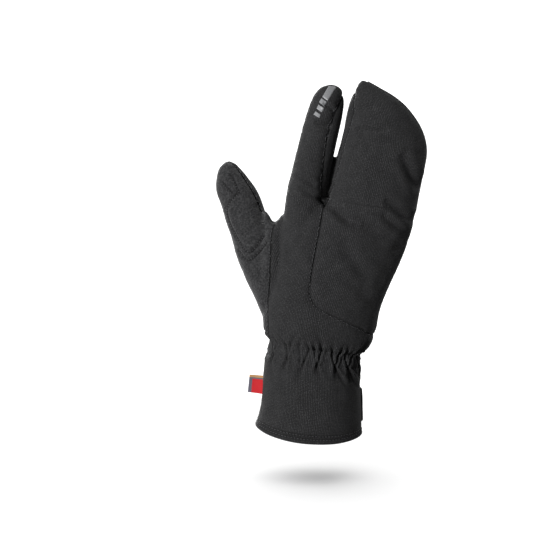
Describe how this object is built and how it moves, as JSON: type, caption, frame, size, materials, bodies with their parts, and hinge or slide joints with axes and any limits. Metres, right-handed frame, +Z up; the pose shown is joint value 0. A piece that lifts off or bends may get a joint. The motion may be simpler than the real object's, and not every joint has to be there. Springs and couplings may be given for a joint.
{
  "type": "lobster claw glove",
  "caption": "Insulated winter cycling glove with a free thumb and index finger, a shared pouch for the other fingers, a gathered wrist and a strapped cuff.",
  "frame": {"origin": "middle of the wrist elastic, inside the glove, where the wearer's wrist is", "axes": "+Z up along the cuff towards the fingers, -Y out of the back of the hand, +Y out of the palm, -X to the thumb's side, +X to the little finger's side"},
  "size_m": [0.169, 0.0633, 0.2853],
  "materials": {
    "softshell": "matt woven softshell with a fine vertical rib",
    "brushed_cloth": "soft brushed knit",
    "suede": "smooth synthetic suede",
    "binding_tape": "close-woven edge tape",
    "stretch_cloth": "smooth stretch knit",
    "loop_cloth": "looped pile for a hook strap",
    "reflective_tape": "silver-grey reflective piping",
    "label_cloth": "woven label tape"
  },
  "bodies": {
    "root": {"back_panel": "softshell", "pouch_panel": "softshell", "finger_gusset": "softshell", "thumb_panel": "brushed_cloth", "palm_panel": "suede", "palm_pad": "suede", "cuff_palm_panel": "softshell", "hem_binding": "binding_tape", "vent_gusset": "stretch_cloth", "loop_patch": "loop_cloth", "wrist_strap": "suede", "edge_piping": "binding_tape", "reflective_piping": "reflective_tape", "side_label": "label_cloth"}
  },
  "joints": []
}
